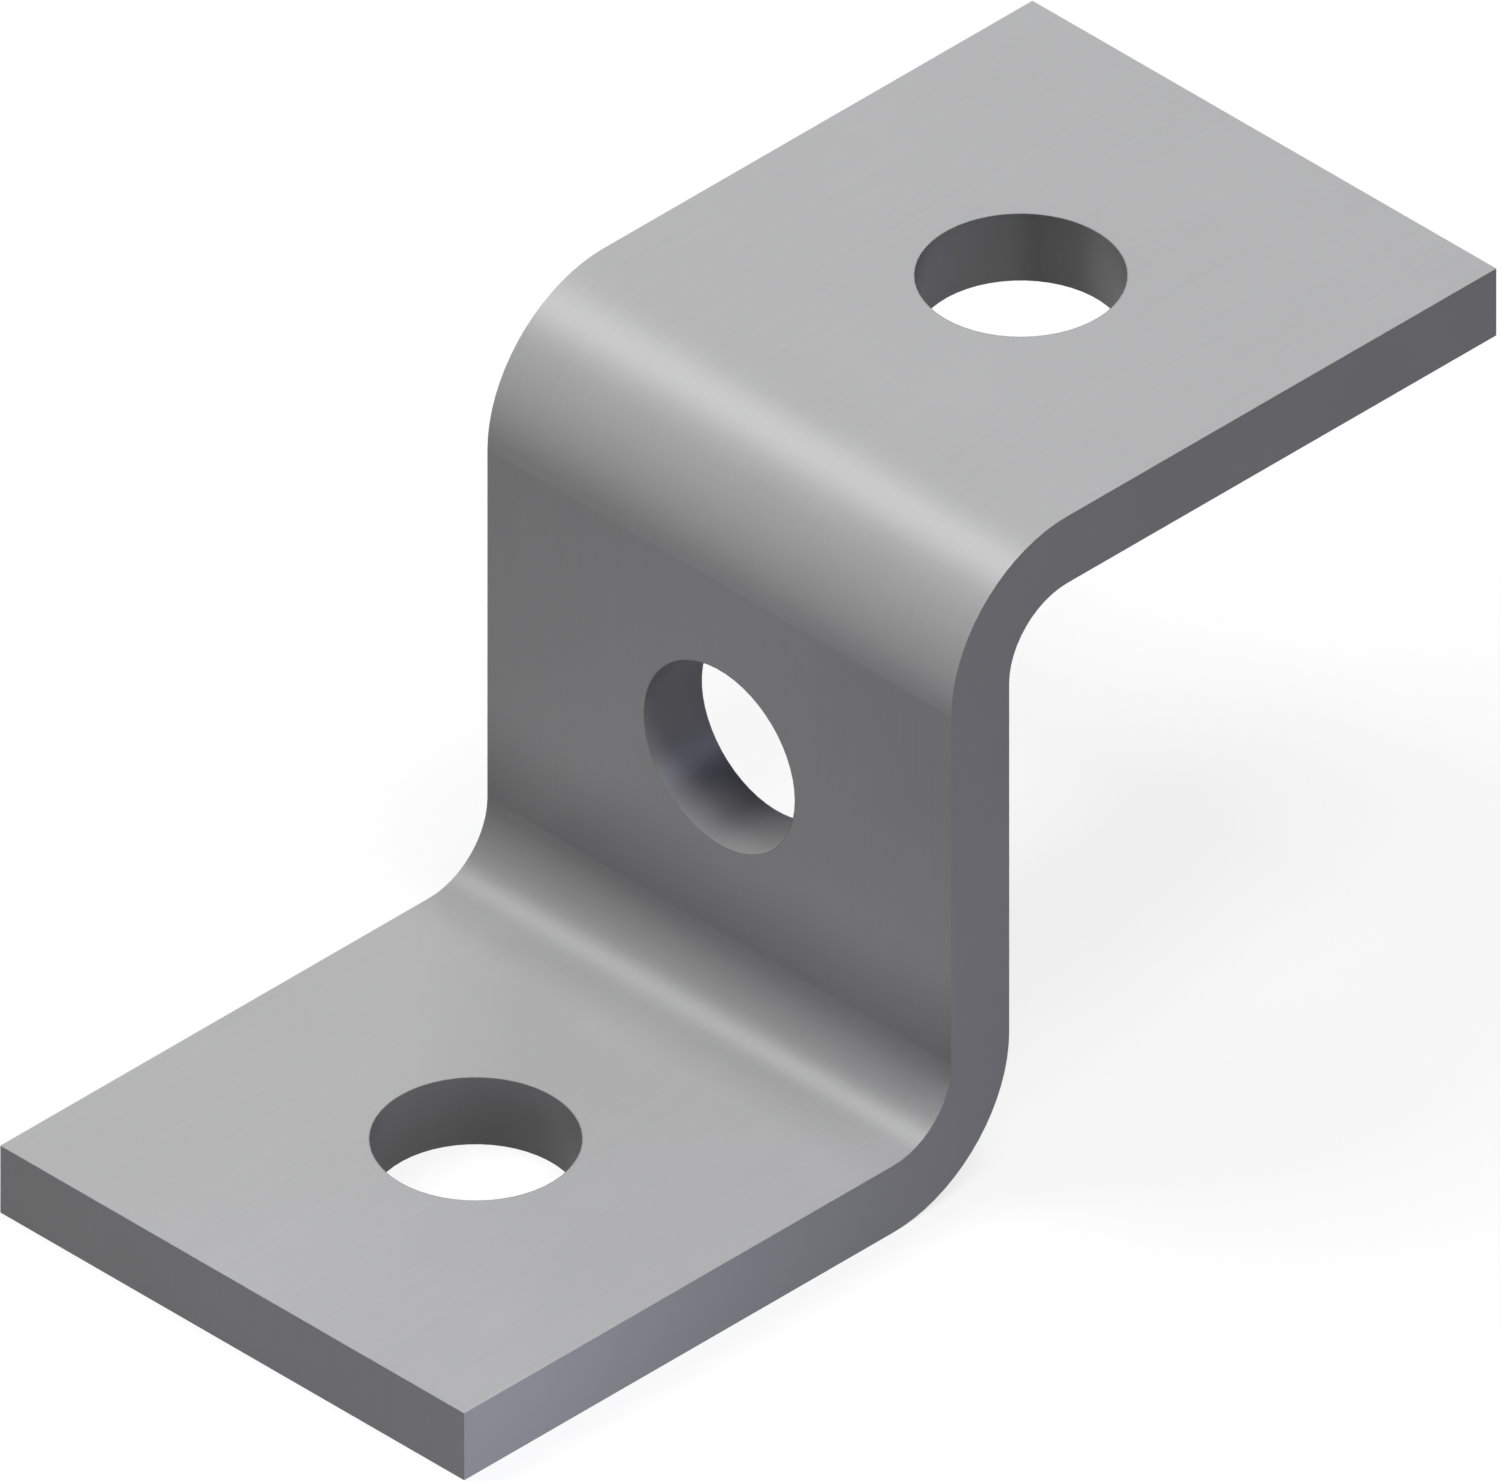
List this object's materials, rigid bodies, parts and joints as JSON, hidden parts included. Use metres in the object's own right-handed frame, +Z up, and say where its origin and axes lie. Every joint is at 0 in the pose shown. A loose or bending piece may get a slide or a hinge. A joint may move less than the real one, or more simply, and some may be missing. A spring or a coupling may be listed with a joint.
{
  "type": "z-shaped splice bracket",
  "caption": "Flat steel strip folded into a Z, with a foot, an upright web and a head, and a bolt hole through each, for fixing strut channel to a surface.",
  "frame": {"origin": "on the axis of the foot's hole, at the underside of the foot, which is the face that bears on the surface", "axes": "+X runs from the foot towards the head, along the strip; +Y runs across the strip; +Z is up, along the foot's bolt"},
  "size_m": [0.089, 0.04, 0.046],
  "materials": {
    "steel": "satin"
  },
  "bodies": {
    "root": {"z_bracket": "steel"}
  },
  "joints": []
}
